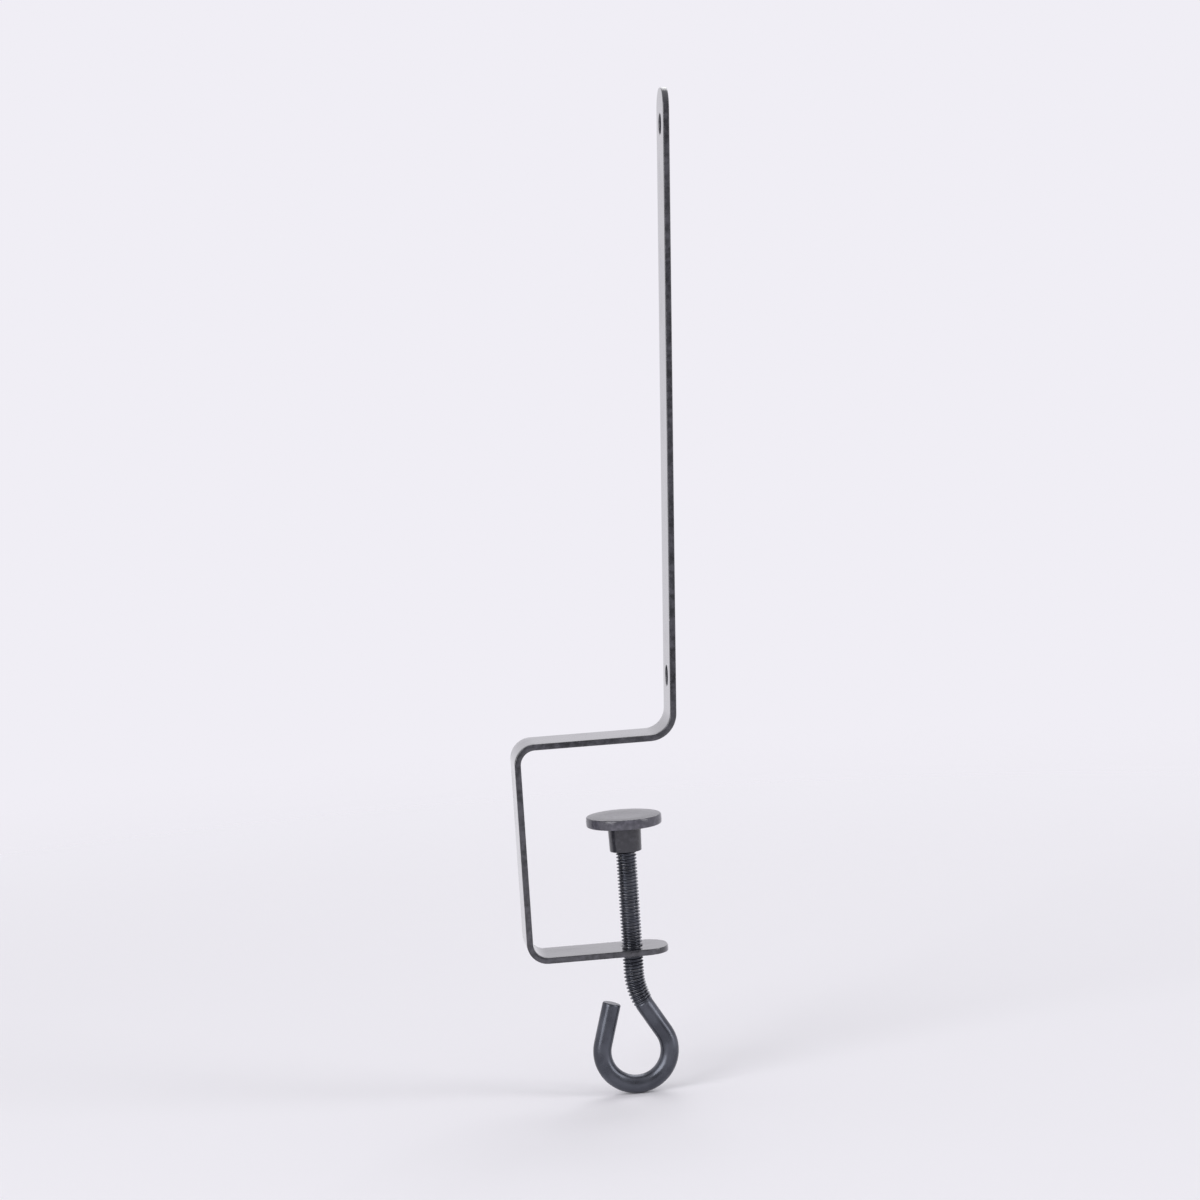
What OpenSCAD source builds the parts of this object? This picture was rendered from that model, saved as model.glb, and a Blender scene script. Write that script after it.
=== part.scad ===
// Table tennis net clamp: one bent steel strip that is the jaw and the net post, a screw whose
// lower end is bent into an open eye for the fingers, and a pad that swivels on the screw's ball tip.
// Origin: on the screw's axis, at the face of the upper arm that lies on the table top. +Z is up,
// +X points out of the jaw, over the table, and the strip's width runs along Y.

/* [Strip] */
// Width of the steel strip
strip_w = 13; // [10:0.5:16]
// Thickness of the steel strip
strip_t = 1.5; // [1.2:0.1:2]
// Corner radius at the strip's two cut ends
end_corner_r = 5.5; // [1:0.5:6]
// How much thinner the steel of the strip and of the rod gets where it is bent
bend_thinning = 0.04; // [0.02:0.01:0.08]

/* [Jaw] */
// Clear height between the two arms
mouth_h = 49.5; // [45:0.5:60]
// Length of the upper arm, outside to outside
upper_arm_l = 39; // [36:0.5:50]
// Length of the lower arm, from the outside of the back to its tip
lower_arm_l = 34; // [31.5:0.5:45]
// Inner radius of the two jaw bends
jaw_bend_r = 3.5; // [2:0.5:6]

/* [Post] */
// Height of the post's top above the table top
post_h = 152.5; // [120:0.5:165]
// Inner radius of the bend at the post's foot
foot_bend_r = 5; // [3:0.5:8]
// Degrees by which the foot bend falls short of square, so that the post leans over the table
post_lean = 3; // [0:0.5:5]
// Diameter of the two holes for the net cords
cord_hole_d = 5; // [4:0.5:7]
// Distance from the post's top down to the upper cord hole
upper_hole_drop = 8.5; // [6:0.5:15]
// Height of the lower cord hole above the table top
lower_hole_rise = 14.5; // [12:0.5:25]

/* [Clamp screw] */
// Distance from the back's outer face to the screw's axis
screw_inset = 25.5; // [22:0.5:28]
// Outside diameter of the thread, which is rolled on the rod
thread_d = 4.9; // [4.7:0.1:5.4]
// Diameter of the plain rod
rod_d = 4.4; // [4:0.1:4.6]
// Straight shank left below the lower arm
shank_below = 4.7; // [4.5:0.1:10]
// Degrees by which the shank bends away from its axis
shank_bend = 31; // [26:1:36]
// Centreline radius of the shank's bend
shank_bend_r = 17; // [14:0.5:20]
// Length of thread that goes on round the shank's bend
bent_thread_l = 7; // [2:0.5:7]
// Length of the cone where the thread runs out
runout_l = 0.8; // [0.4:0.1:1.2]
// Length of the straight rod between the shank's bend and the eye
leg_l = 7.4; // [6:0.1:10]
// Centreline radius of the eye
eye_r = 8.1; // [7:0.1:10]
// Length of the straight tail that closes the eye
tail_l = 10.2; // [4:0.1:10.5]
// Degrees between the tail and the screw's axis
tail_angle = 15.7; // [12:0.1:18]
// Bevel round the rod's two ends
end_bevel = 0.4; // [0.2:0.1:0.8]

/* [Ball tip] */
// Diameter of the ball on the screw's tip
ball_d = 4.2; // [3.9:0.1:4.4]
// Diameter of the neck under the ball
neck_d = 3; // [2.4:0.1:3.2]

/* [Pressure pad] */
// Distance from the table face of the upper arm down to the pad, as the clamp is stored
pad_gap = 17.9; // [8:0.1:25]
// Diameter of the pad
pad_d = 18; // [14:0.5:24]
// Thickness of the pad's disc
disc_t = 2.4; // [1.8:0.1:3.5]
// Height of the whole pad, disc and boss
pad_h = 8.6; // [8:0.1:12]
// Diameter of the boss at the disc
boss_d = 7.9; // [7.7:0.1:10]
// How much narrower the moulded boss is at its open end
boss_draft = 0.3; // [0:0.1:0.4]
// Radius where the boss meets the disc
boss_fillet_r = 0.8; // [0.4:0.1:1.4]
// Rounding of the disc's rim
rim_r = 0.4; // [0.2:0.1:0.8]
// Plastic between the ball and the pad's pressing face
roof_t = 1.8; // [1.2:0.1:2.2]
// Depth of the counterbore that takes the end of the thread
counterbore_depth = 1.6; // [1:0.1:2.4]

/* [Fits] */
// Radial play of the thread in the lower arm
thread_play = 0.05; // [0.02:0.01:0.1]
// Radial play of the ball in its socket
ball_play = 0.05; // [0.02:0.01:0.1]
// Room round the neck, and between the thread's shoulder and the pad
neck_room = 0.3; // [0.2:0.05:0.4]
// Room round the thread's end in the counterbore
thread_room = 0.35; // [0.2:0.05:0.5]

/* [Hidden] */
$fn = 96;
past = 1;                                          // how far a cutter runs past the face it cuts
lap_angle = 1;                                     // degrees that a bend goes on inside the straights at its ends

// Jaw and post, in the plane of the bends: X is out of the jaw, and the second value is the height
end_r = min(end_corner_r, (strip_w - strip_t) / 2); // leaves a short straight between an end's two corners
back_x = -screw_inset;                             // outer face of the back
lower_arm_top = -mouth_h;
lower_arm_under = lower_arm_top - strip_t;
lower_tip_x = back_x + lower_arm_l;
jaw_corner = strip_t + jaw_bend_r;                 // a jaw bend's outer radius
foot_corner = strip_t + foot_bend_r;               // the foot bend's outer radius
foot_pivot = [back_x + upper_arm_l - foot_corner, foot_corner];
foot_mid_r = foot_bend_r + strip_t / 2;
post_foot = foot_pivot + foot_mid_r * [cos(post_lean), -sin(post_lean)];  // mid-thickness, above the bend
post_l = (post_h - post_foot.y) / cos(post_lean);

// Screw and pad, as heights on the screw's axis
pad_top = -pad_gap;
rim_low = pad_top - disc_t + rim_r;                // centre of the disc's lower rim rounding
boss_end = pad_top - pad_h;
socket_r = ball_d / 2 + ball_play;
lip_r = neck_d / 2 + neck_room;
ball_z = pad_top - roof_t - socket_r;
counterbore_floor = boss_end + counterbore_depth;
shoulder_z = counterbore_floor - neck_room;        // top of the thread
bend_z = lower_arm_under - shank_below;            // start of the shank's bend
thread_angle = bent_thread_l / shank_bend_r * 180 / PI;

// Straight lengths and bends of the strip, from the lower arm's tip to the post's top:
// [straight length, turn in degrees (left is positive), inner radius of the bend]
STRIP_STEPS = [
    [lower_arm_l - jaw_corner, -90, jaw_bend_r],
    [mouth_h - 2 * jaw_bend_r, -90, jaw_bend_r],
    [upper_arm_l - jaw_corner - foot_corner, 90 - post_lean, foot_bend_r],
    [post_l, 0, 0]
];

// The same for the plain rod, from its shoulder to its cut end, with centreline radii
ROD_STEPS = [
    [shoulder_z - bend_z, shank_bend, shank_bend_r],
    [leg_l, -(180 + shank_bend + tail_angle), eye_r],
    [tail_l - end_bevel, 0, 0]
];

// A bend that starts at the origin, running along +X, with its centre at a height of centre_y: children(0) is
// the section that is swept round it, and children(1) is what follows the bend
module bend(turn, centre_y) {
    translate([0, centre_y]) {
        rotate_extrude(start = (turn > 0 ? -90 : 90 + turn) - lap_angle, angle = abs(turn) + 2 * lap_angle)
            children(0);
        rotate(turn)
            translate([0, -centre_y]) children(1);
    }
}

// The strip from step i on: it runs along +X from the origin, strip_t thick along Y, strip_w wide along Z
module strip_run(i = 0) {
    length = STRIP_STEPS[i][0];
    turn = STRIP_STEPS[i][1];
    bend_r = STRIP_STEPS[i][2];
    cube([length, strip_t, strip_w]);
    if (turn != 0)
        translate([length, 0])
            bend(turn, turn > 0 ? strip_t + bend_r : -bend_r) {
                translate([bend_r, 0] + [1, 1] * bend_thinning / 2)
                    square([strip_t, strip_w] - [1, 1] * bend_thinning);
                strip_run(i + 1);
            }
}

// The plain rod from step i on: its centreline runs along +X from the origin and bends in the XY plane
module rod_run(i = 0) {
    length = ROD_STEPS[i][0];
    turn = ROD_STEPS[i][1];
    bend_r = ROD_STEPS[i][2];
    rotate([0, 90, 0]) cylinder(h = length, d = rod_d);
    translate([length, 0])
        if (turn == 0)
            rotate([0, 90, 0]) cylinder(h = end_bevel, d1 = rod_d, d2 = rod_d - 2 * end_bevel);
        else
            bend(turn, sign(turn) * bend_r) {
                translate([bend_r, 0]) circle(d = rod_d - bend_thinning);
                rod_run(i + 1);
            }
}

// The outline of the thread round the rod: bevelled at the shoulder, then straight, then round part of the
// shank's bend, where it runs out in a cone that ends inside the rod
module thread_run() {
    length = ROD_STEPS[0][0];
    rise = thread_d - rod_d;
    rotate([0, 90, 0]) {
        cylinder(h = end_bevel, d1 = thread_d - 2 * end_bevel, d2 = thread_d);
        translate([0, 0, end_bevel]) cylinder(h = length - end_bevel, d = thread_d);
    }
    translate([length, 0])
        bend(thread_angle, shank_bend_r) {
            translate([shank_bend_r, 0]) circle(d = thread_d - bend_thinning);
            rotate([0, 90, 0])
                cylinder(h = 2 * runout_l, d1 = thread_d - 2 * bend_thinning, d2 = thread_d - 2 * rise);
        }
}

// Puts children on the post's mid-thickness at a height, with Z along the post and X through it
module on_post(height) {
    reach = (height - post_foot.y) * tan(post_lean);
    translate([post_foot.x + reach, 0, height])
        rotate([0, post_lean, 0]) children();
}

// What rounding takes off a cut end of the strip: the end is at the origin, and the strip lies below it
module end_rounding() {
    for (turn = [0, 180])
        rotate(turn)
            translate([0, strip_w / 2 - end_r, -end_r])
                difference() {
                    translate([-strip_t, 0, 0])
                        cube([2 * strip_t, end_r + past, end_r + past]);
                    rotate([0, 90, 0])
                        cylinder(h = 4 * strip_t, r = end_r, center = true);
                }
}

module bracket() {
    color("#2b2c32")
        difference() {
            translate([lower_tip_x, strip_w / 2, lower_arm_top])
                rotate([90, 0, 0]) rotate(180) strip_run();
            on_post(post_h) end_rounding();
            translate([lower_tip_x, 0, lower_arm_top - strip_t / 2])
                rotate([0, 90, 0]) end_rounding();
            for (height = [post_h - upper_hole_drop, lower_hole_rise])
                on_post(height)
                    rotate([0, 90, 0])
                        cylinder(h = 2 * strip_t, d = cord_hole_d, center = true);
            translate([0, 0, lower_arm_under - past])
                cylinder(h = strip_t + 2 * past, r = thread_d / 2 + thread_play);
        }
}

module clamp_screw() {
    color("#37383d")
        union() {
            translate([0, 0, ball_z]) sphere(d = ball_d);
            translate([0, 0, shoulder_z - past]) cylinder(h = ball_z - shoulder_z + past, d = neck_d);
            translate([0, 0, shoulder_z])
                rotate([0, 90, 0]) rotate([90, 0, 0]) {
                    rod_run();
                    thread_run();
                }
        }
}

// Disc with a rounded rim
module pad_disc() {
    rim_x = pad_d / 2 - rim_r;
    rotate_extrude() {
        translate([0, pad_top - disc_t]) square([rim_x, disc_t]);
        translate([0, rim_low]) square([pad_d / 2, disc_t - 2 * rim_r]);
        for (y = [pad_top - rim_r, rim_low])
            translate([rim_x, y]) circle(r = rim_r);
    }
}

// Drafted boss and the fillet where it meets the disc, both from inside the disc
module pad_boss() {
    fillet_x = boss_d / 2 + boss_fillet_r;
    fillet_y = pad_top - disc_t - boss_fillet_r;
    translate([0, 0, boss_end])
        cylinder(h = rim_low - boss_end, d1 = boss_d - boss_draft, d2 = boss_d);
    rotate_extrude()
        difference() {
            translate([0, fillet_y]) square([fillet_x, rim_low - fillet_y]);
            translate([fillet_x, fillet_y]) circle(r = boss_fillet_r);
        }
}

module pressure_pad() {
    color("#3a3b40")
        difference() {
            union() {
                pad_disc();
                pad_boss();
            }
            translate([0, 0, ball_z]) sphere(r = socket_r);
            translate([0, 0, boss_end]) cylinder(h = ball_z - boss_end, r = lip_r);
            translate([0, 0, boss_end - past])
                cylinder(h = counterbore_depth + past, r = thread_d / 2 + thread_room);
        }
}

bracket();
clamp_screw();
pressure_pad();
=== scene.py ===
# %% [markdown]
# # A table tennis net clamp
#
# The clamp has three pieces. A flat steel strip is bent into a jaw and a net post. A steel rod with a
# rolled thread and a bent eye is the clamp screw. A moulded pad snaps on the screw's ball tip.
#
# A workshop makes the strip and the rod in the same order: straight first, with their holes and thread,
# and bent last. This script does the same, and one Geometry Nodes group does all the bending.
#
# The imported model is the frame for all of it. Each piece made here takes the place of one of its nodes.

import math

import bmesh
import bpy
from mathutils import Euler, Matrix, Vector


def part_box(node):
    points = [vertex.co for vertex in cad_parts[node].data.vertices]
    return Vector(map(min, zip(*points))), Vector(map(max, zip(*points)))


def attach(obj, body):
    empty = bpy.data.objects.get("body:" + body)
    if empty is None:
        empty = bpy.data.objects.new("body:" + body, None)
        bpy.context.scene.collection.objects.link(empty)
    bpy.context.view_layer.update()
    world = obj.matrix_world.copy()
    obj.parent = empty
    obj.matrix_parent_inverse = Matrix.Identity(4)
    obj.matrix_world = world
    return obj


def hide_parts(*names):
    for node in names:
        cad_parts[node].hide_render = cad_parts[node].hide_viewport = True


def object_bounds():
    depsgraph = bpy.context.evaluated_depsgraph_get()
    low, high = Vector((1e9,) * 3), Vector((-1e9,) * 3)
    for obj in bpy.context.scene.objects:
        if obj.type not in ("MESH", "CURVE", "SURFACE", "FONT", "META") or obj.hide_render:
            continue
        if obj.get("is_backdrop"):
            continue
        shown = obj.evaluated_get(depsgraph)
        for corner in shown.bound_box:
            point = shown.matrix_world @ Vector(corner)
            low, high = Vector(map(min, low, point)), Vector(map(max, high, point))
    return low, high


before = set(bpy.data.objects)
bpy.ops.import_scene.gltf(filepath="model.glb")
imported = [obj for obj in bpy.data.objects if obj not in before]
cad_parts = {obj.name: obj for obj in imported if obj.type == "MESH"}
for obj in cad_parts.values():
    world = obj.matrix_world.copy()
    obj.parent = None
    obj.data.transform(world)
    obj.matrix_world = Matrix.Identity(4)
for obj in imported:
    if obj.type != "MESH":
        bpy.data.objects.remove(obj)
cad_box = [list(corner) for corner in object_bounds()]
MM = 0.001

# %% [markdown]
# ## Node trees as formulas
#
# A tree of Math nodes is hard to read in code. A small class can wrap a node's output, so that Python's
# own operators add the Math nodes, and a formula looks like a formula. The other half of the pair holds
# one tree, with one method that adds any node: its settings first, because they change which sockets
# are there, and then the values or wires of its sockets. Materials and Geometry Nodes share both.


# %% Wires and trees
class Wire:
    """A node's output. Operators on it add Math nodes to its tree."""

    def __init__(self, nodes, socket):
        self.nodes = nodes
        self.socket = socket

    def output(self, name):
        return Wire(self.nodes, self.socket.node.outputs[name])

    def math(self, operation, *values):
        return self.nodes.node("ShaderNodeMath", {"operation": operation}, dict(enumerate(values)))

    def apply(self, operation):
        """A Math node that works on this wire alone, such as SINE."""
        return self.math(operation, self)

    def __add__(self, other):
        return self.math("ADD", self, other)

    def __mul__(self, other):
        return self.math("MULTIPLY", self, other)

    __radd__ = __add__
    __rmul__ = __mul__

    def __sub__(self, other):
        return self.math("SUBTRACT", self, other)

    def __rsub__(self, other):
        return self.math("SUBTRACT", other, self)

    def __truediv__(self, other):
        return self.math("DIVIDE", self, other)

    def __rtruediv__(self, other):
        return self.math("DIVIDE", other, self)

    def __abs__(self):
        return self.apply("ABSOLUTE")

    def above(self, floor):
        return self.math("MAXIMUM", self, floor)

    def below(self, roof):
        return self.math("MINIMUM", self, roof)

    def rise(self, low, high):
        """0 where the wire is under low, 1 where it is over high, and a smooth step between them."""
        settings = {"interpolation_type": "SMOOTHSTEP"}
        sockets = {"Value": self, "From Min": low, "From Max": high}
        return self.nodes.node("ShaderNodeMapRange", settings, sockets)


class Nodes:
    """One node tree, and the one method that adds nodes to it."""

    def __init__(self, tree):
        self.tree = tree
        self.sizes = {}

    def node(self, kind, settings=None, sockets=None):
        node = self.tree.nodes.new(kind)
        for name, value in (settings or {}).items():
            setattr(node, name, value)
        for key, values in (sockets or {}).items():
            by_name = [s for s in node.inputs if s.enabled and s.name == key]
            socket = by_name[0] if by_name else node.inputs[key]
            for value in values if isinstance(values, list) else [values]:
                if isinstance(value, Wire):
                    self.tree.links.new(value.socket, socket)
                else:
                    socket.default_value = value
        shown = [s for s in node.outputs if s.enabled]
        return Wire(self, shown[0]) if shown else None

    def split(self, vector):
        first = self.node("ShaderNodeSeparateXYZ", {}, {"Vector": vector})
        return [first.output(axis) for axis in "XYZ"]

    def join(self, x, y, z):
        return self.node("ShaderNodeCombineXYZ", {}, {"X": x, "Y": y, "Z": z})

    def length(self, *parts):
        """Length of a vector given by its parts, two or three of them."""
        vector = self.join(*parts, *[0] * (3 - len(parts)))
        found = self.node("ShaderNodeVectorMath", {"operation": "LENGTH"}, {"Vector": vector})
        return found.output("Value")


print("node helpers ready")

# %% [markdown]
# ## Geometry Nodes trees with named sizes
#
# A Geometry Nodes tree gets its sizes through named inputs, as a group has them in Blender's own editor.
# The modifier stores each value under the socket's identifier and not under its name, so a helper keeps
# the pairs and fills them in before the object is first evaluated.


# %% Start a tree, use it as a modifier, and turn the result into a mesh
def geometry_tree(name, sizes):
    """A new tree with one geometry going in and one coming out, and its inputs as wires by name."""
    tree = bpy.data.node_groups.new(name, "GeometryNodeTree")
    tree.interface.new_socket("Geometry", in_out="OUTPUT", socket_type="NodeSocketGeometry")
    tree.interface.new_socket("Geometry", in_out="INPUT", socket_type="NodeSocketGeometry")
    nodes = Nodes(tree)
    for size, value in sizes.items():
        socket = tree.interface.new_socket(size, in_out="INPUT", socket_type="NodeSocketFloat")
        nodes.sizes[socket.identifier] = value
    first = nodes.node("NodeGroupInput")
    return nodes, first, {size: first.output(size) for size in sizes}


def add_tree(worker, nodes):
    modifier = worker.modifiers.new(nodes.tree.name, "NODES")
    modifier.node_group = nodes.tree
    for identifier, value in nodes.sizes.items():
        modifier[identifier] = value


def new_worker(name, mesh=None):
    worker = bpy.data.objects.new(name, mesh or bpy.data.meshes.new(name))
    bpy.context.scene.collection.objects.link(worker)
    return worker


def settle(worker):
    """Replaces the object's mesh by what its modifiers make of it, and takes them off."""
    graph = bpy.context.evaluated_depsgraph_get()
    evaluated = worker.evaluated_get(graph)
    mesh = bpy.data.meshes.new_from_object(evaluated, preserve_all_data_layers=True, depsgraph=graph)
    worker.modifiers.clear()
    worker.data = mesh
    mesh.name = worker.name
    triangles = sum(len(face.vertices) - 2 for face in mesh.polygons)
    print(worker.name, "has", triangles, "triangles")


print("tree helpers ready")


# %% [markdown]
# ## One bend
#
# A bend starts at some distance along a straight blank. Steel before that point stays where it is. Steel
# in the bend turns with the distance it lies in, and all beyond it is carried round by the whole turn.
# A Simple Deform modifier bends too, but it counts its limits in shares of the object's box, which is
# another one after each bend. So a small group does it, and each blank passes through it once a bend,
# from its far end to its near end, as on a bending bench. The group reads how far along a point is from
# an attribute that keeps every point's place on the straight blank. The materials read it too, to find
# cut edges and crests, and to run lines along the steel.


# %% The bend group
BLANK = "blank"


def bend_group():
    nodes, first, size = geometry_tree("Bend", {"Start": 0, "Turn": 0, "Radius": 1})
    start, turn, radius = size["Start"], size["Turn"], size["Radius"]
    settings = {"data_type": "FLOAT_VECTOR"}
    straight = nodes.node("GeometryNodeInputNamedAttribute", settings, {"Name": BLANK})
    along = nodes.split(straight)[0]
    x, y, z = nodes.split(nodes.node("GeometryNodeInputPosition"))
    centre = turn.apply("SIGN") * radius
    inside = (along - start).above(0).below(abs(turn) * radius)
    angle = inside / centre
    sine = angle.apply("SINE")
    cosine = angle.apply("COSINE")
    past = x - start - inside
    level = z - centre
    bent = nodes.join(start + cosine * past - sine * level, y, centre + sine * past + cosine * level)
    moved = nodes.node("GeometryNodeSetPosition", {}, {"Geometry": first, "Position": bent})
    nodes.node("NodeGroupOutput", {}, {"Geometry": moved})
    return nodes.tree


BEND = bend_group()
print("bend group has", len(BEND.nodes), "nodes")

# %% [markdown]
# ## From a straight blank to a bent piece
#
# A blank's route is a list of steps, each a straight length, the turn that follows it and the radius of
# that turn at mid-thickness. The bending tree keeps the straight places, sends the blank through one
# bend group for each turn, lays the piece in the frame and gives it its finish.


# %% Bending tree
def bends_along(steps):
    """Each bend's start along the straight blank, its turn and its radius, and the blank's length."""
    bends = []
    length = 0
    for straight, turn, radius in steps:
        length += straight
        if turn:
            bends.append((length, turn, radius))
        length += abs(turn) * radius
    return bends, length


def bending_tree(name, steps, heading, place, finish):
    """heading turns the straight blank about Y, and place is where its start goes."""
    bends, _ = bends_along(steps)
    parts = ("start", "turn", "radius")
    sizes = {}
    for i, bend in enumerate(bends):
        sizes.update({f"Bend {i} {part}": value for part, value in zip(parts, bend)})
    nodes, first, size = geometry_tree(name, sizes)
    position = nodes.node("GeometryNodeInputPosition")
    settings = {"data_type": "FLOAT_VECTOR", "domain": "POINT"}
    sockets = {"Geometry": first, "Name": BLANK, "Value": position}
    shape = nodes.node("GeometryNodeStoreNamedAttribute", settings, sockets)
    for i in reversed(range(len(bends))):
        sockets = {part.title(): size[f"Bend {i} {part}"] for part in parts}
        shape = nodes.node("GeometryNodeGroup", {"node_tree": BEND}, {"Geometry": shape, **sockets})
    sockets = {"Geometry": shape, "Translation": place, "Rotation": Euler((0, heading, 0))}
    shape = nodes.node("GeometryNodeTransform", {}, sockets)
    shape = nodes.node("GeometryNodeRealizeInstances", {}, {"Geometry": shape})
    shape = nodes.node("GeometryNodeSetMaterial", {}, {"Geometry": shape, "Material": finish})
    nodes.node("NodeGroupOutput", {}, {"Geometry": shape})
    return nodes


SQUARE_BEND = bends_along([(0, math.pi / 2, 4)])[1]
print("a square bend of 4 mm takes", round(SQUARE_BEND, 2), "mm of the blank")

# %% [markdown]
# ## The strip's sizes
#
# The strip is 13 mm wide and 1.5 mm thick. Its width and the jaw's mouth are read from the frame, so
# that the piece keeps to it. A box can't say a bend's radius, so such sizes are written down here. The
# steps run from the tip of the lower arm, round the jaw, to the top of the post, and the radii in them
# are at mid-thickness.

# %% Sizes of the strip
strip_low, strip_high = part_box("bracket")
STRIP_WIDTH = strip_high.y - strip_low.y
STRIP_THICK = 1.5 * MM
END_CORNER = 5.5 * MM
LOWER_ARM = 34 * MM
UPPER_ARM = 39 * MM
MOUTH = -strip_low.z - STRIP_THICK
JAW_INSIDE = 3.5 * MM
JAW_BEND = JAW_INSIDE + STRIP_THICK / 2
FOOT_BEND = 5 * MM + STRIP_THICK / 2
POST_LEAN = math.radians(3)
POST_HEIGHT = 152.5 * MM
LOWER_TIP = strip_low.x + LOWER_ARM
JAW_CORNER = JAW_BEND + STRIP_THICK / 2
FOOT_CORNER = FOOT_BEND + STRIP_THICK / 2
POST_FOOT = FOOT_CORNER - FOOT_BEND * math.sin(POST_LEAN)
STRIP_STEPS = [
    (LOWER_ARM - JAW_CORNER, -math.pi / 2, JAW_BEND),
    (MOUTH - 2 * JAW_INSIDE, -math.pi / 2, JAW_BEND),
    (UPPER_ARM - JAW_CORNER - FOOT_CORNER, math.pi / 2 - POST_LEAN, FOOT_BEND),
    ((POST_HEIGHT - POST_FOOT) / math.cos(POST_LEAN), 0, 0),
]
STRIP_BENDS, STRIP_LENGTH = bends_along(STRIP_STEPS)
print("the straight strip is", round(STRIP_LENGTH / MM, 1), "mm long")

# %% [markdown]
# ## Holes in the blank
#
# Two round holes in the post take the net's cords, and a tapped hole in the lower arm takes the screw.
# They are punched and tapped in the flat strip, so their places are distances along it. All three get
# the same radius, because the rod fills the tapped one and hides its turns.

# %% Places of the holes
HOLE_RADIUS = 2.5 * MM
CORD_HOLE_HEIGHTS = (14.5 * MM, POST_HEIGHT - 8.5 * MM)
foot_start, foot_turn, _ = STRIP_BENDS[2]
post_start = foot_start + foot_turn * FOOT_BEND
HOLES = [LOWER_TIP]
for height in CORD_HOLE_HEIGHTS:
    HOLES.append(post_start + (height - POST_FOOT) / math.cos(POST_LEAN))
print("holes at", [round(hole / MM, 2) for hole in HOLES], "mm along the strip")

# %% [markdown]
# ## The flat blank
#
# A Boolean could cut the holes, but it leaves long triangles that crease where the strip bends. The
# blank is laid out in quads instead. Bands of rows run across the strip, close together where it will
# bend. Each hole sits in a patch as wide as the strip: a ring of quads from the hole's circle to a
# rectangle. The columns are spaced by the tangent of equal angles, so that they meet the ring's spokes.
# The tapped hole is so near the tip that its patch starts where the round end stops, which sets the
# length of all three. Only the two round ends stay one face each, because nothing bends there.

# %% Lay out the blank
SPOKES = 48
COLUMNS = [math.tan(math.pi / 4 * (8 * i / SPOKES - 1)) for i in range(SPOKES // 4 + 1)]
CORNER_STEPS = 12
PATCH = LOWER_TIP - END_CORNER
BEND_ROW = math.radians(4)
LONGEST_ROW = 4 * MM
WELD = 0.001 * MM
half_width = STRIP_WIDTH / 2


def add_quads(shape, rows):
    """Quads between each row of points and the next one."""
    for row, following in zip(rows, rows[1:]):
        for i in range(len(row) - 1):
            shape.faces.new((row[i], following[i], following[i + 1], row[i + 1]))


def add_band(blank, low, high, longest):
    """Rows of quads across the whole strip between two distances along it."""
    count = math.ceil((high - low) / longest)
    rows = [low + (high - low) * i / count for i in range(count + 1)]
    add_quads(blank, [[blank.verts.new((row, half_width * c, 0)) for c in COLUMNS] for row in rows])


def add_patch(blank, hole):
    """Quads from the hole's circle to a rectangle as wide as the strip."""
    rings = ([], [])
    for spoke in range(SPOKES):
        angle = 2 * math.pi * spoke / SPOKES
        x, y = math.cos(angle), math.sin(angle)
        reach = max(abs(x), abs(y))
        rings[0].append(blank.verts.new((hole + x * HOLE_RADIUS, y * HOLE_RADIUS, 0)))
        rings[1].append(blank.verts.new((hole + x * PATCH / reach, y * half_width / reach, 0)))
    inner, outer = rings
    for i in range(SPOKES):
        j = (i + 1) % SPOKES
        blank.faces.new((outer[i], outer[j], inner[j], inner[i]))


def add_end(blank, row, tip):
    """One flat face with two round corners, from a row of the blank to its tip."""
    side = math.copysign(1, tip - row)
    straight = half_width - END_CORNER
    arc = [math.pi / 2 * i / CORNER_STEPS for i in range(CORNER_STEPS)]
    corner = [(row + side * END_CORNER * math.cos(a), straight + END_CORNER * math.sin(a)) for a in arc]
    points = [(row, half_width * c) for c in COLUMNS]
    points += corner[::-1] + [(x, -y) for x, y in corner]
    blank.faces.new([blank.verts.new((x, y, 0)) for x, y in points])


print("each hole has", SPOKES, "spokes, and the bands have", len(COLUMNS), "points across")

# %% [markdown]
# ## Rows only where they are needed
#
# Holes and bends cut the strip's length into stretches. Where a hole is, the patch fills its stretch. In
# a bend a row takes 4 degrees of the turn, so that the bend looks round, and elsewhere a row may be 4 mm
# long. Each stretch brings its own points, so the doubled ones are merged before the normals are made
# to agree.


# %% Put the blank together
def row_limit(low, high):
    """How long a row may be between two distances along the strip, and 0 in the patch of a hole."""
    middle = (low + high) / 2
    if any(abs(middle - hole) < PATCH for hole in HOLES):
        return 0
    for start, turn, radius in STRIP_BENDS:
        if start < middle < start + abs(turn) * radius:
            return radius * BEND_ROW
    return LONGEST_ROW


def strip_blank():
    blank = bmesh.new()
    edges = [END_CORNER, STRIP_LENGTH - END_CORNER]
    for start, turn, radius in STRIP_BENDS:
        edges += [start, start + abs(turn) * radius]
    for hole in HOLES:
        edges += [hole - PATCH, hole + PATCH]
        add_patch(blank, hole)
    edges.sort()
    for low, high in zip(edges, edges[1:]):
        longest = row_limit(low, high)
        if longest and high - low > WELD:
            add_band(blank, low, high, longest)
    add_end(blank, END_CORNER, 0)
    add_end(blank, STRIP_LENGTH - END_CORNER, STRIP_LENGTH)
    bmesh.ops.remove_doubles(blank, verts=blank.verts, dist=WELD)
    bmesh.ops.recalc_face_normals(blank, faces=blank.faces)
    mesh = bpy.data.meshes.new("strip_blank")
    blank.to_mesh(mesh)
    blank.free()
    mesh.shade_smooth()
    return mesh


flat = strip_blank()
print("the flat blank has", len(flat.polygons), "faces")

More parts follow.
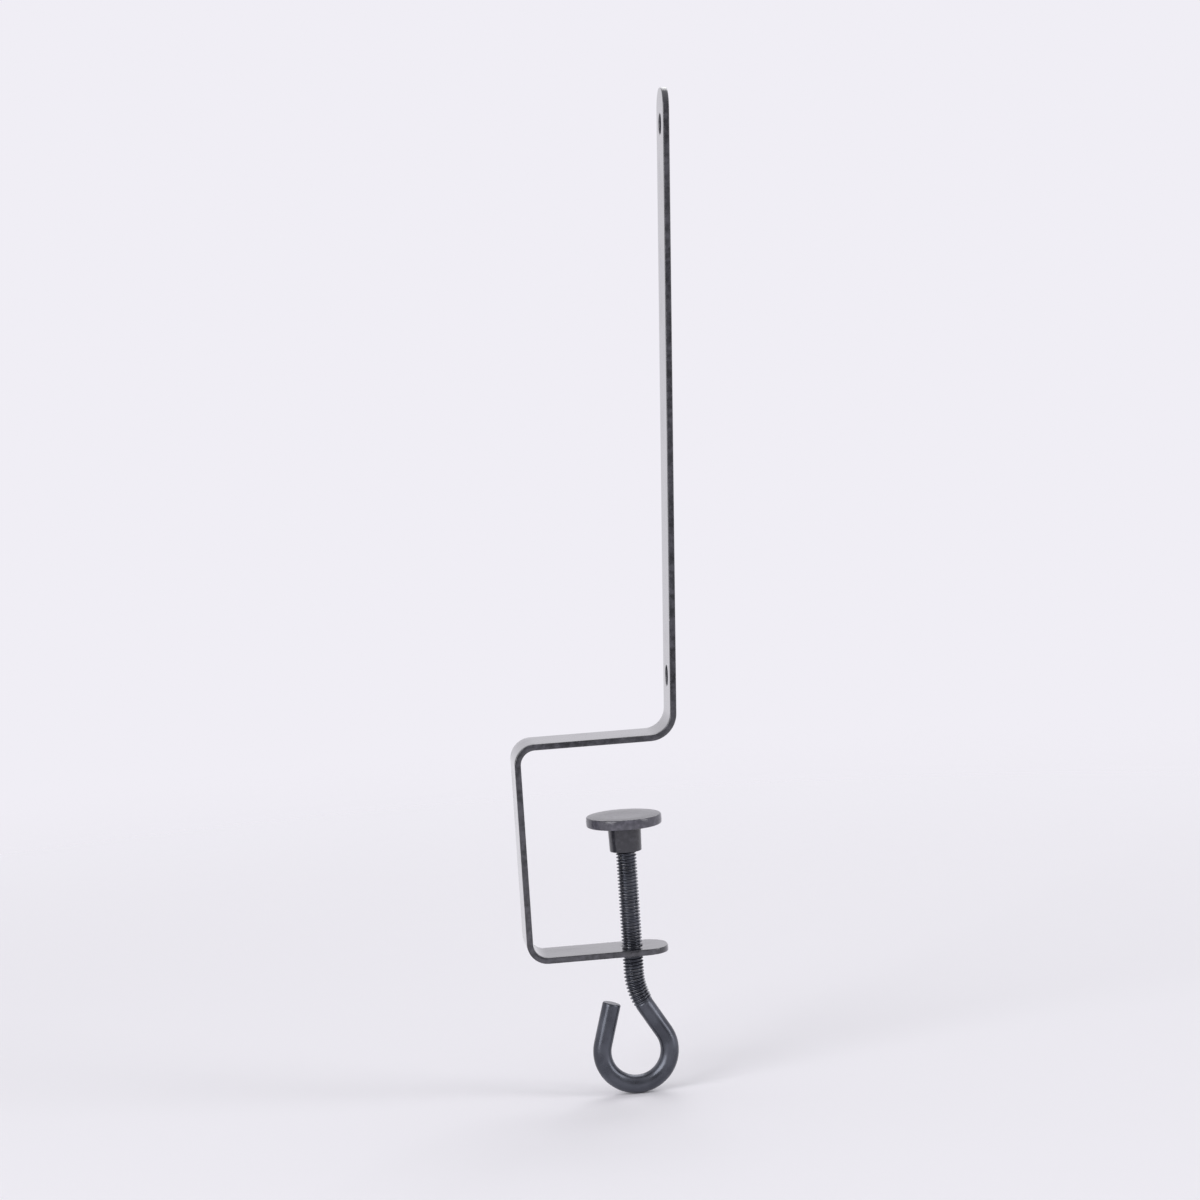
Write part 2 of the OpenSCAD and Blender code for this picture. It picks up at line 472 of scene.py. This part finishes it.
# %% [markdown]
# ## A finish from plain nodes
#
# Every finish ends in one Principled BSDF over a bump. The helpers here start a material, make cloudy
# noise with patches of a given real size, and blend two colours. Heights are real ones too: the bump's
# distance is how far, in metres, the surface rises where the height is 1.


# %% Finish helpers
def new_finish(name):
    finish = bpy.data.materials.new(name)
    finish.use_nodes = True
    finish.node_tree.nodes.clear()
    return finish, Nodes(finish.node_tree)


def cloud(nodes, where, size, detail=2):
    """Noise from 0 to 1 whose patches are about size across."""
    return nodes.node("ShaderNodeTexNoise", {}, {"Vector": where, "Scale": 1 / size, "Detail": detail})


def blend(nodes, share, low, high):
    """The colour low where share is 0, and high where it is 1."""
    colours = {key: c if isinstance(c, Wire) else (*c, 1) for key, c in (("A", low), ("B", high))}
    return nodes.node("ShaderNodeMix", {"data_type": "RGBA"}, {"Factor": share, **colours})


def close_finish(nodes, height, rise, **sockets):
    bump = nodes.node("ShaderNodeBump", {}, {"Distance": rise, "Height": height})
    named = {key.replace("_", " "): value for key, value in sockets.items()}
    surface = nodes.node("ShaderNodeBsdfPrincipled", {}, {"Normal": bump, **named})
    nodes.node("ShaderNodeOutputMaterial", {}, {"Surface": surface})


def straight_place(nodes):
    """The point's place on the straight blank: along it, across it and through it."""
    return nodes.split(nodes.node("ShaderNodeAttribute", {"attribute_name": BLANK}).output("Vector"))


print("finish helpers ready")

# %% [markdown]
# ## The strip's paint
#
# The strip is dipped in black enamel and baked. The coat is glossy with a soft orange peel, a millimetre
# or so from crest to crest. Shearing and punching leave the cut sides streaked from face to face, and
# the coat on them is thin and patchy. On the roundings beside them knocks chip it down to the steel.
# Geometry alone can't tell a cut side from a bend, so the masks are worked out on the flat blank: how
# far a point is from the nearest cut side, and how far it is from mid-thickness. Strips that slide over
# each other in a crate get dull smudges and hairlines, which run along them and round their bends. Each
# mask is noise of a real size, and the two limits of its rise set how much of the surface it takes.

# %% Strip paint
EDGE_ROUND = 0.25 * MM
ENAMEL = (0.011, 0.011, 0.0145)
ENAMEL_PALER = (0.023, 0.023, 0.029)
ENAMEL_DULL = (0.062, 0.062, 0.072)
ENAMEL_THIN = (0.065, 0.063, 0.077)
BARE_STEEL = (0.42, 0.41, 0.4)
PEEL_SIZE = 1.3 * MM
PEEL_FINE = 0.3 * MM
PEEL_HEIGHT = 0.01 * MM
PATCH_SIZE = 12 * MM
SMUDGE_SIZE = 9 * MM
HAIR_WIDTH = 0.16 * MM
HAIR_STRETCH = 0.05
HAIR_GROUP = 7 * MM
CHIP_SIZE = 0.8 * MM
THIN_SIZE = 1.4 * MM
STREAK_WIDTH = 0.5 * MM
STREAK_STRETCH = 0.2


def on_cut_side(nodes, along, across):
    """1 on the strip's cut sides and in its holes, falling to 0 across the rounding beside them."""
    past_x = abs(along - STRIP_LENGTH / 2) - (STRIP_LENGTH / 2 - END_CORNER)
    past_y = abs(across) - (half_width - END_CORNER)
    outside = nodes.length(past_x.above(0), past_y.above(0))
    to_cut = END_CORNER - outside - past_x.above(past_y).below(0)
    for hole in HOLES:
        to_cut = to_cut.below(nodes.length(along - hole, across) - HOLE_RADIUS)
    return (1 - to_cut / EDGE_ROUND).above(0)


def strip_paint():
    finish, nodes = new_finish("strip_paint")
    where = nodes.node("ShaderNodeTexCoord").output("Object")
    along, across, through = straight_place(nodes)
    side = on_cut_side(nodes, along, across)
    face = ((abs(through) - STRIP_THICK / 2) / EDGE_ROUND + 1).above(0)
    chipped = (side * face * 1.2 + cloud(nodes, where, CHIP_SIZE, 4)).rise(1.2, 1.26)
    patches = cloud(nodes, where, PATCH_SIZE, 3).rise(0.35, 0.65)
    smudges = cloud(nodes, where, SMUDGE_SIZE, 5).rise(0.48, 0.75)
    lines = nodes.join(along * HAIR_STRETCH, across, through)
    hairs = cloud(nodes, lines, HAIR_WIDTH, 2).rise(0.64, 0.7)
    dull = smudges * 0.5 + hairs * cloud(nodes, where, HAIR_GROUP, 3).rise(0.5, 0.62)
    thin = side * cloud(nodes, where, THIN_SIZE, 4).rise(0.3, 0.75)
    shear = nodes.join(along, across, through * STREAK_STRETCH)
    streaks = side * cloud(nodes, shear, STREAK_WIDTH, 3)
    peel = cloud(nodes, where, PEEL_SIZE) + cloud(nodes, where, PEEL_FINE) * 0.25
    coats = blend(nodes, dull.below(1), blend(nodes, patches, ENAMEL, ENAMEL_PALER), ENAMEL_DULL)
    coats = blend(nodes, thin, coats, ENAMEL_THIN)
    close_finish(
        nodes,
        peel + streaks * 4 - chipped * 3,
        PEEL_HEIGHT,
        Base_Color=blend(nodes, chipped, coats, BARE_STEEL),
        Metallic=chipped,
        Roughness=0.1 + dull * 0.12 + thin * 0.12 + chipped * 0.25,
        Coat_Weight=0.6 - dull.below(1) * 0.3 - chipped * 0.3,
        Coat_Roughness=0.08,
    )
    return finish


STRIP_PAINT = strip_paint()
print("strip paint has", len(STRIP_PAINT.node_tree.nodes), "nodes")

# %% [markdown]
# ## The bracket
#
# Solidify gives the flat blank its thickness and Bevel rounds its cut edges, while it is still flat and
# both are simple. The bending tree comes next in the stack. Weighted normals come last, so that the
# large faces shade flat and only the narrow roundings turn the light.

# %% Bend the bracket
SHARP_ANGLE = math.radians(40)
bracket = new_worker("bracket_strip", flat)
thicken = bracket.modifiers.new("thickness", "SOLIDIFY")
thicken.thickness = STRIP_THICK
thicken.offset = 0
round_edges = bracket.modifiers.new("rounded edges", "BEVEL")
round_edges.width = EDGE_ROUND
round_edges.segments = 3
round_edges.angle_limit = SHARP_ANGLE
lower_arm_middle = Vector((LOWER_TIP, 0, -MOUTH - STRIP_THICK / 2))
bend_strip = bending_tree("bend the strip", STRIP_STEPS, math.pi, lower_arm_middle, STRIP_PAINT)
add_tree(bracket, bend_strip)
bracket.modifiers.new("even shading", "WEIGHTED_NORMAL")
settle(bracket)

# %% [markdown]
# ## The rod's sizes
#
# The clamp screw starts as a straight rod of 4.4 mm. Its tip is turned to a ball and a neck, and an M5
# thread is rolled on it from the shoulder down. Rolling pushes steel out of the roots and up into the
# crests, so the crests stand a little proud of the plain rod. The rod's straight length is counted from
# the shoulder, and the radii of its bends are those of its centreline.

# %% Sizes of the rod
_, screw_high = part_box("clamp_screw")
ROD_RADIUS = 2.2 * MM
BALL_RADIUS = 2.1 * MM
NECK_RADIUS = 1.5 * MM
TIP_HEIGHT = 5.45 * MM
SHOULDER = screw_high.z - TIP_HEIGHT
CREST_RADIUS = 2.45 * MM
THREAD_PITCH = 0.8 * MM
THREAD_DEPTH = 0.6134 * THREAD_PITCH
THREAD_ROUND_BEND = 7 * MM
RUN_OUT = 1.2 * MM
SHANK = 30.5 * MM
SHANK_TURN = math.radians(31)
SHANK_BEND = 17 * MM
LEG = 7.4 * MM
EYE_BEND = 8.1 * MM
TAIL = 10.2 * MM
TAIL_TURN = math.radians(15.7)
END_ROUND = 0.4 * MM
ROD_STEPS = [
    (SHANK, SHANK_TURN, SHANK_BEND),
    (LEG, -(math.pi + SHANK_TURN + TAIL_TURN), EYE_BEND),
    (TAIL, 0, 0),
]
ROD_LENGTH = bends_along(ROD_STEPS)[1]
print("the straight rod is", round(ROD_LENGTH / MM, 1), "mm long below its shoulder")

# %% [markdown]
# ## The rod's finish
#
# The rod isn't painted but blackened in a hot bath. That leaves a thin satin coat, a little blue, which
# still looks like metal, so Metallic stays high. Drawing the wire left faint lines along it, so one noise
# is stretched along the straight rod. The crests of the thread run in the tapped hole and shine where the
# coat has worn. They are found by their distance from the straight rod's axis.

# %% Screw finish
BLACKING = (0.066, 0.07, 0.085)
BLACKING_PALER = (0.1, 0.106, 0.127)
RUBBED = (0.24, 0.24, 0.25)
BLACKING_SIZE = 5 * MM
CREST_DEPTH = 0.12 * MM
RUBBED_SIZE = 1.5 * MM
DRAWN_WIDTH = 0.35 * MM
DRAWN_STRETCH = 0.03
DRAWN_HEIGHT = 0.008 * MM
FINE_SIZE = 0.5 * MM


def screw_finish():
    finish, nodes = new_finish("screw_finish")
    where = nodes.node("ShaderNodeTexCoord").output("Object")
    along, side, front = straight_place(nodes)
    drawn = cloud(nodes, nodes.join(along * DRAWN_STRETCH, side, front), DRAWN_WIDTH, 3)
    patches = cloud(nodes, where, BLACKING_SIZE, 3).rise(0.35, 0.65)
    crest = nodes.length(side, front).rise(CREST_RADIUS - CREST_DEPTH, CREST_RADIUS)
    rubbed = crest * cloud(nodes, where, RUBBED_SIZE, 3).rise(0.4, 0.62)
    close_finish(
        nodes,
        drawn + cloud(nodes, where, FINE_SIZE) * 0.6,
        DRAWN_HEIGHT,
        Base_Color=blend(nodes, rubbed * 0.7, blend(nodes, patches, BLACKING, BLACKING_PALER), RUBBED),
        Metallic=0.8,
        Roughness=0.24 + patches * 0.1 - rubbed * 0.05,
    )
    return finish


SCREW_FINISH = screw_finish()
print("screw finish has", len(SCREW_FINISH.node_tree.nodes), "nodes")

# %% [markdown]
# ## The threaded rod
#
# A thread is a profile that climbs as it goes round, so its shape follows a rule, and Geometry Nodes can
# work it out. A net of rows and columns is rolled into a tube round X. Each row's distance along and
# each point's radius are formulas. Five such nets make the rod: the ball, the neck, the thread, the plain
# rod and the cropped end. Neighbours share a circle and the same columns, so that merging by distance
# makes them one closed skin.


# %% Roll a net into a tube
ROD_COLUMNS = 48


def rolled_net(nodes, rows, along, radius):
    """A tube round X. along(row, turn) gives a point's X, and radius(row, x) its distance from X."""
    counts = {"Vertices X": rows + 1, "Vertices Y": ROD_COLUMNS + 1}
    grid = nodes.node("GeometryNodeMeshGrid", {}, {"Size X": rows, "Size Y": 1, **counts})
    x, y, _ = nodes.split(nodes.node("GeometryNodeInputPosition"))
    row = x + rows / 2
    turn = y + 0.5
    x = along(row, turn)
    reach = radius(row, x)
    angle = turn * (2 * math.pi)
    place = nodes.join(x, reach * angle.math("SINE", angle), reach * angle.math("COSINE", angle))
    return nodes.node("GeometryNodeSetPosition", {}, {"Geometry": grid, "Position": place})


print("a net has", ROD_COLUMNS, "columns")

# %% [markdown]
# ## Ball and neck
#
# The rows on the ball are spaced by equal angles about its centre, from its top to where the neck cuts
# it. A quarter circle at the neck's lower end blends it into the thread's root, as a lathe tool leaves it.


# %% Nets of the tip
BALL_ROWS = 20
NECK_ROWS = 24


def neck_angle(size):
    """The angle about the ball's centre from its top to the neck."""
    return math.pi - (size["Neck radius"] / size["Ball radius"]).apply("ARCSINE")


def ball_net(nodes, size):
    ball = size["Ball radius"]
    step = neck_angle(size) / BALL_ROWS

    def along(row, turn):
        return 0 - size["Ball height"] - ball * (row * step).apply("COSINE")

    def radius(row, x):
        return ball * (row * step).apply("SINE")

    return rolled_net(nodes, BALL_ROWS, along, radius)


def neck_net(nodes, size):
    neck = size["Neck radius"]
    top = 0 - size["Ball height"] - size["Ball radius"] * neck_angle(size).apply("COSINE")
    fillet = size["Root radius"] - neck

    def along(row, turn):
        return top * (1 - row / NECK_ROWS)

    def radius(row, x):
        share = (x / fillet + 1).above(0)
        return neck + fillet * (1 - (1 - share * share).apply("SQRT"))

    return rolled_net(nodes, NECK_ROWS, along, radius)


print("the tip has", BALL_ROWS + NECK_ROWS, "rows")

# %% [markdown]
# ## Thread
#
# In the threaded stretch a row isn't a circle: it climbs by one pitch in a turn, so that rows run along
# the crests and roots and the net has no jagged steps. Rows that would start before the shoulder or end
# past the run-out are held there, and their doubled points are merged. The profile is the standard one:
# a crest an eighth of the pitch wide, a root a quarter of it, and straight flanks between them. At the
# shoulder a chamfer of 45 degrees leads it in, and over the run-out it fades into the plain rod.


# %% Net of the thread
PITCH_ROWS = 16
CREST_FLAT = 1 / 8
ROOT_FLAT = 1 / 4
FLANK = (1 - CREST_FLAT - ROOT_FLAT) / 2
ROOT_MIDDLE = CREST_FLAT + FLANK + ROOT_FLAT / 2


def thread_net(nodes, size):
    rod, root, crest = (size[f"{name} radius"] for name in ("Rod", "Root", "Crest"))
    pitch, length = size["Pitch"], size["Thread length"]
    step = pitch / PITCH_ROWS
    rows = (length / step).apply("CEIL") + PITCH_ROWS

    def along(row, turn):
        return (row * step - turn * pitch).above(0).below(length)

    def radius(row, x):
        phase = (row / PITCH_ROWS).apply("FRACT")
        flank = ((abs(phase - ROOT_MIDDLE) - ROOT_FLAT / 2) / FLANK).above(0).below(1)
        fade = ((length - x) / size["Run-out"]).below(1)
        formed = rod + (root + (crest - root) * flank - rod) * fade
        return formed.below(root + x)

    return rolled_net(nodes, rows, along, radius)


print("a turn of the thread has", PITCH_ROWS, "rows")

# %% [markdown]
# ## Plain rod and cropped end
#
# The plain rod needs rows only to bend smoothly. Its end is cropped, and tumbling has rounded the edge.
# The last rows shrink to a point, so that the end is closed without one large face of many corners.


# %% Nets of the plain rod and its end
PLAIN_ROW = 0.5 * MM
END_ROWS = 5
FLAT_ROWS = 3


def plain_net(nodes, size):
    start = size["Thread length"]
    length = size["Length"] - size["End rounding"] - start
    rows = (length / PLAIN_ROW).apply("CEIL")

    def along(row, turn):
        return start + length * row / rows

    def radius(row, x):
        return size["Rod radius"]

    return rolled_net(nodes, rows, along, radius)


def end_net(nodes, size):
    rod, corner = size["Rod radius"], size["End rounding"]
    quarter = math.pi / 2 / END_ROWS

    def along(row, turn):
        return size["Length"] - corner + corner * (row.below(END_ROWS) * quarter).apply("SINE")

    def radius(row, x):
        rim = rod - corner + corner * (row.below(END_ROWS) * quarter).apply("COSINE")
        return rim * (1 - (row - END_ROWS).above(0) / FLAT_ROWS)

    return rolled_net(nodes, END_ROWS + FLAT_ROWS, along, radius)


print("a row of the plain rod is at most", PLAIN_ROW / MM, "mm long")

# %% [markdown]
# ## The whole rod
#
# One tree holds the five nets, and its inputs are the sizes that they share, so that no size is written
# twice. It needs no mesh to start from, because its nets are made inside it.


# %% Straight rod tree
def straight_rod():
    sizes = {
        "Rod radius": ROD_RADIUS,
        "Ball radius": BALL_RADIUS,
        "Neck radius": NECK_RADIUS,
        "Crest radius": CREST_RADIUS,
        "Root radius": CREST_RADIUS - THREAD_DEPTH,
        "Pitch": THREAD_PITCH,
        "Ball height": TIP_HEIGHT - BALL_RADIUS,
        "Thread length": SHANK + THREAD_ROUND_BEND + RUN_OUT,
        "Run-out": RUN_OUT,
        "Length": ROD_LENGTH,
        "End rounding": END_ROUND,
    }
    nodes, _, size = geometry_tree("straight rod", sizes)
    makers = (ball_net, neck_net, thread_net, plain_net, end_net)
    nets = [net(nodes, size) for net in makers]
    skin = nodes.node("GeometryNodeJoinGeometry", {}, {"Geometry": nets})
    skin = nodes.node("GeometryNodeMergeByDistance", {}, {"Geometry": skin, "Distance": 2 * WELD})
    nodes.node("NodeGroupOutput", {}, {"Geometry": skin})
    return nodes


print("five nets make the rod")

# %% [markdown]
# ## Bend the rod
#
# The clamp screw is an empty object with two modifiers. The first makes it straight, and the bending
# tree then bends it as it bent the strip and hangs its shoulder on the screw's axis. The shading is
# smooth all over, since the net is fine enough to draw the thread's corners.

# %% Roll, bend and place the clamp screw
screw = new_worker("clamp_screw_rod")
bend_rod = bending_tree("bend the rod", ROD_STEPS, math.pi / 2, Vector((0, 0, SHOULDER)), SCREW_FINISH)
add_tree(screw, straight_rod())
add_tree(screw, bend_rod)
settle(screw)
screw.data.shade_smooth()

# %% [markdown]
# ## The pad's outline
#
# The pad is moulded in one piece: a disc that presses on the table from below, a boss, and inside the
# boss a counterbore, a narrow lip and the socket that snaps over the ball. It is round about one axis,
# so half of its section is enough. The outline starts and ends on the axis, and it has one point more
# than a lathe would need: the mould parts at the disc's rim, and each half of it is drafted away. Thick
# plastic shrinks more as it cools, so the face has sunk a little over the boss. The sink's profile is a
# list of places, counted in boss radii from the axis, with the share of the full depth at each.

# %% Half section of the pad
pad_low, pad_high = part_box("pressure_pad")
DISC_THICK = 2.4 * MM
RIM_ROUND = 0.4 * MM
RIM_DRAFT = 0.03 * MM
BOSS_RADIUS = 3.95 * MM
BOSS_END_RADIUS = 3.8 * MM
BOSS_FILLET = 0.8 * MM
EDGE_BREAK = 0.15 * MM
BORE_RADIUS = 2.8 * MM
BORE_DEPTH = 1.6 * MM
LIP_RADIUS = NECK_RADIUS + 0.3 * MM
SOCKET_RADIUS = BALL_RADIUS + 0.05 * MM
BALL_CENTRE = screw_high.z - BALL_RADIUS
SINK_DEPTH = 0.05 * MM
SINK_PROFILE = ((0, 1), (0.5, 0.8), (1, 0.3), (1.4, 0))


def arc(x, z, radius, start, turn, steps):
    """Points along an arc about (x, z), from an angle in degrees and by a turn."""
    angles = [math.radians(start + turn * i / steps) for i in range(steps + 1)]
    return [(x + radius * math.cos(a), z + radius * math.sin(a)) for a in angles]


def pad_outline():
    top, under, end = pad_high.z, pad_high.z - DISC_THICK, pad_low.z
    rim = pad_high.x - RIM_DRAFT
    floor = end + BORE_DEPTH
    mouth = -math.degrees(math.acos(LIP_RADIUS / SOCKET_RADIUS))
    points = [(BOSS_RADIUS * out, top - SINK_DEPTH * share) for out, share in SINK_PROFILE]
    points += arc(rim - RIM_ROUND, top - RIM_ROUND, RIM_ROUND, 90, -90, 6)
    points += [(pad_high.x, top - DISC_THICK / 2)]
    points += arc(rim - RIM_ROUND, under + RIM_ROUND, RIM_ROUND, 0, -90, 6)
    points += arc(BOSS_RADIUS + BOSS_FILLET, under - BOSS_FILLET, BOSS_FILLET, 90, 90, 8)
    points += arc(BOSS_END_RADIUS - EDGE_BREAK, end + EDGE_BREAK, EDGE_BREAK, 0, -90, 4)
    points += arc(BORE_RADIUS + EDGE_BREAK, end + EDGE_BREAK, EDGE_BREAK, -90, -90, 4)
    points += [(BORE_RADIUS, floor), (LIP_RADIUS, floor)]
    points += arc(0, BALL_CENTRE, SOCKET_RADIUS, mouth, 90 - mouth, 16)
    return points


print("the pad's outline has", len(pad_outline()), "points")

# %% [markdown]
# ## Plastic with a spark-eroded grain
#
# The pad is black nylon. A spark-eroded mould leaves a fine, even grain on it, so its gloss is wide and
# soft. Handling has scuffed it a little paler in patches, most at its rim, and turning against a table
# has drawn faint arcs on its face. A band at the rim is also painted paler all round, a painted
# highlight where the rounded rim catches light. Rim and arcs both follow the distance from the axis:
# noise along that distance alone makes whole rings, and a coarse noise over them leaves only pieces.

# %% Pad plastic
NYLON = (0.03, 0.03, 0.037)
NYLON_PALER = (0.106, 0.102, 0.126)
RIM_PALE_BAND = 1.2 * MM
RING_WIDTH = 0.3 * MM
ARC_SIZE = 3.5 * MM
FACE_DEPTHS = (0.3 * MM, 0.1 * MM)
SCUFF_SIZE = 1.1 * MM
GRAIN_SIZE = 0.16 * MM
GRAIN_HEIGHT = 0.008 * MM


def pad_plastic():
    finish, nodes = new_finish("pad_plastic")
    where = nodes.node("ShaderNodeTexCoord").output("Object")
    x, y, z = nodes.split(where)
    out = nodes.length(x, y)
    # The band at the rim: its even share is a painted highlight where the rounded rim catches light.
    rim = out.rise(pad_high.x - RIM_PALE_BAND, pad_high.x)
    face = z.rise(*[pad_high.z - depth for depth in FACE_DEPTHS])
    rings = cloud(nodes, nodes.join(out, 0, 0), RING_WIDTH, 3).rise(0.45, 0.65)
    arcs = rings * face * cloud(nodes, where, ARC_SIZE, 4).rise(0.42, 0.6)
    scuffs = cloud(nodes, where, SCUFF_SIZE, 5).rise(0.42, 0.72)
    grain = cloud(nodes, where, GRAIN_SIZE, 1)
    # Scuffs and arcs are wear. The rim's even share is a painted highlight.
    wear_and_rim_highlight = scuffs * (0.25 + 0.35 * rim) + rim * 0.5 + arcs * 0.45
    close_finish(
        nodes,
        grain - arcs * 0.5,
        GRAIN_HEIGHT,
        Base_Color=blend(nodes, wear_and_rim_highlight.below(1), NYLON, NYLON_PALER),
        Roughness=0.11 + grain * 0.05 + scuffs * 0.06 + arcs * 0.06,
    )
    return finish


PAD_PLASTIC = pad_plastic()
print("pad plastic has", len(PAD_PLASTIC.node_tree.nodes), "nodes")

# %% [markdown]
# ## The pad
#
# The half section is turned about the axis. Spin could do it, but it adds its faces in another order on
# every run, and the mesh should come out the same each time. So the section is set up ring by ring, and
# the first ring closes the last gap. Each ring brings its own points on the axis. They are merged, and
# then the normals are made to point outwards.

# %% Turn the pad
PAD_STEPS = 96
CREASE = math.radians(32)


def turned_pad():
    shape = bmesh.new()
    rings = []
    for step in range(PAD_STEPS):
        angle = 2 * math.pi * step / PAD_STEPS
        x, y = math.cos(angle), math.sin(angle)
        rings.append([shape.verts.new((out * x, out * y, z)) for out, z in pad_outline()])
    add_quads(shape, rings + rings[:1])
    bmesh.ops.remove_doubles(shape, verts=shape.verts, dist=WELD)
    bmesh.ops.recalc_face_normals(shape, faces=shape.faces)
    mesh = bpy.data.meshes.new("pad")
    shape.to_mesh(mesh)
    shape.free()
    mesh.shade_smooth()
    mesh.set_sharp_from_angle(angle=CREASE)
    mesh.materials.append(PAD_PLASTIC)
    return mesh


pad = new_worker("pressure_pad_moulded", turned_pad())
print("the pad has", len(pad.data.polygons), "faces")

# %% [markdown]
# ## Each piece on its body
#
# The strip doesn't move. The pad slides along the screw's axis, and the screw moves with it and turns in
# it. Every piece rides on its body and stands for the imported solid that it was shaped around.

# %% Ride and replace
PIECES = [
    (bracket, "bracket", "bracket", "strip_paint"),
    (screw, "screw", "clamp_screw", "screw_finish"),
    (pad, "pad", "pressure_pad", "pad_plastic"),
]
for piece, body, node, slot in PIECES:
    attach(piece, body)
    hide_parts(node)
print("pieces:", [piece.name for piece, *_ in PIECES])

# %% [markdown]
# ## The floor
#
# The floor is a pale disc under the clamp's lowest point. The clamp stands on its eye, so the floor
# keeps its distance from the pad: it rides on the same body, and when the screw is turned down the
# bracket stands higher over it. Towards its rim the disc turns clear, so that no edge shows. From below
# all of it is clear, so that views from there show the clamp.

# %% Pale floor
PALE = (0.871, 0.855, 0.913)
FLOOR_COLOUR = (0.85, 0.835, 0.89)
FLOOR_RADIUS = 0.7
FLOOR_SIDES = 96
FADE = (0.2, 0.62)


def pale_floor():
    finish, nodes = new_finish("pale_floor")
    x, y, _ = nodes.split(nodes.node("ShaderNodeTexCoord").output("Object"))
    clear = nodes.length(x, y).rise(*FADE)
    behind = nodes.node("ShaderNodeNewGeometry").output("Backfacing")
    sockets = {"Base Color": (*FLOOR_COLOUR, 1), "Roughness": 0.9, "Specular IOR Level": 0.1}
    matt = nodes.node("ShaderNodeBsdfPrincipled", {}, sockets)
    through = nodes.node("ShaderNodeBsdfTransparent")
    mixed = nodes.node("ShaderNodeMixShader", {}, {0: clear.above(behind), 1: matt, 2: through})
    nodes.node("ShaderNodeOutputMaterial", {}, {"Surface": mixed})
    shape = bmesh.new()
    bmesh.ops.create_circle(shape, cap_ends=True, segments=FLOOR_SIDES, radius=FLOOR_RADIUS)
    bmesh.ops.translate(shape, verts=shape.verts, vec=(0, 0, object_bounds()[0].z))
    mesh = bpy.data.meshes.new("floor")
    shape.to_mesh(mesh)
    shape.free()
    mesh.materials.append(finish)
    return new_worker("floor", mesh)


floor = pale_floor()
floor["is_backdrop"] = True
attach(floor, "pad")
print("floor at", round(floor.data.vertices[0].co.z / MM, 2), "mm")

# %% [markdown]
# ## The surroundings
#
# A ray that meets no object takes its colour from the world. The world is as pale as the floor where the
# camera or a reflection sees it, and dimmer for diffuse light, so that the lamps can model the shape. A
# studio is darker on the side where people work, so reflections of the front are dimmer. That draws a
# dark core between the pale flanks of a round and glossy black thing, which would look flat in even
# surroundings.

# %% Pale surroundings
SKY_LIGHT = 0.55
FRONT_SHARE = 0.4
FRONT = tuple(FRONT_SHARE * value for value in PALE)
FRONT_SPREAD = (0.2, 0.9)


def surroundings():
    world = bpy.data.worlds.new("pale surroundings")
    world.use_nodes = True
    world.node_tree.nodes.clear()
    nodes = Nodes(world.node_tree)
    ray = nodes.node("ShaderNodeLightPath")
    seen = (ray + ray.output("Is Glossy Ray") + ray.output("Is Transmission Ray")).below(1)
    _, depth, _ = nodes.split(nodes.node("ShaderNodeTexCoord"))
    front = (0 - depth).rise(*FRONT_SPREAD) * (1 - ray)
    colour = blend(nodes, front, PALE, FRONT)
    shown = nodes.node("ShaderNodeBackground", {}, {"Color": colour, "Strength": 1})
    lights = nodes.node("ShaderNodeBackground", {}, {"Color": (1, 1, 1, 1), "Strength": SKY_LIGHT})
    mixed = nodes.node("ShaderNodeMixShader", {}, {0: seen, 1: lights, 2: shown})
    nodes.node("ShaderNodeOutputWorld", {}, {"Surface": mixed})
    return world


bpy.context.scene.world = surroundings()
print("surroundings ready")

# %% [markdown]
# ## Soft lamps
#
# Three large area lamps stand round the clamp as softboxes do round a product: a key from the upper
# left, a weaker fill from the right, and one behind that draws a line of light along the upper edges.
# Each lamp below has its place, its width and height, and its power in watts.

# %% Lamps
LAMPS = {
    "key": ((-0.85, -0.75, 0.42), (0.65, 1), 8.0),
    "fill": ((0.95, -0.5, 0.4), (0.4, 1), 4.0),
    "behind": ((0.2, 0.8, 0.8), (0.8, 0.8), 3.5),
}
AIM = Vector((0, 0, 0.03))


def add_lamp(name, place, size, power):
    lamp = bpy.data.lights.new(name, "AREA")
    lamp.shape = "RECTANGLE"
    lamp.size, lamp.size_y = size
    lamp.energy = power
    stand = bpy.data.objects.new(name, lamp)
    stand.location = place
    stand.rotation_euler = (Vector(place) - AIM).to_track_quat("Z", "Y").to_euler()
    bpy.context.scene.collection.objects.link(stand)


for name, (place, size, power) in LAMPS.items():
    add_lamp(name, place, size, power)
print("lamps:", sorted(LAMPS))

# %% [markdown]
# ## Camera
#
# The clamp is seen almost square on, from a little left of and above its front, with a long lens from
# 0.9 m away. The camera is tipped by a few degrees, which sets the leaning post upright in the picture.

# %% Camera
AZIMUTH = math.radians(-5.5)
ELEVATION = math.radians(5.9)
TIP = math.radians(-3.8)
DISTANCE = 0.897
LENS = 114


def add_camera():
    low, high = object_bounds()
    back = Vector((
        math.sin(AZIMUTH) * math.cos(ELEVATION),
        -math.cos(AZIMUTH) * math.cos(ELEVATION),
        math.sin(ELEVATION),
    ))
    camera = bpy.data.objects.new("camera", bpy.data.cameras.new("camera"))
    camera.data.lens = LENS
    camera.location = (low + high) / 2 + back * DISTANCE
    facing = back.to_track_quat("Z", "Y").to_matrix()
    camera.rotation_euler = (facing @ Euler((0, 0, TIP)).to_matrix()).to_euler()
    bpy.context.scene.collection.objects.link(camera)
    bpy.context.scene.camera = camera
    return camera


camera = add_camera()
print("camera at", [round(value, 3) for value in camera.location])

# %% [markdown]
# ## Sizes at the end
#
# The view transform stays Standard, so that a colour shows as it is written. The sizes of the imported
# model and of the finished one are printed side by side.

# %% Print the sizes
bpy.context.scene.view_settings.view_transform = "Standard"
visual_box = [list(corner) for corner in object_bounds()]
for axis, cad, visual in zip("XYZ", zip(*cad_box), zip(*visual_box)):
    print(axis, "cad", [round(v / MM, 2) for v in cad], "visual", [round(v / MM, 2) for v in visual])
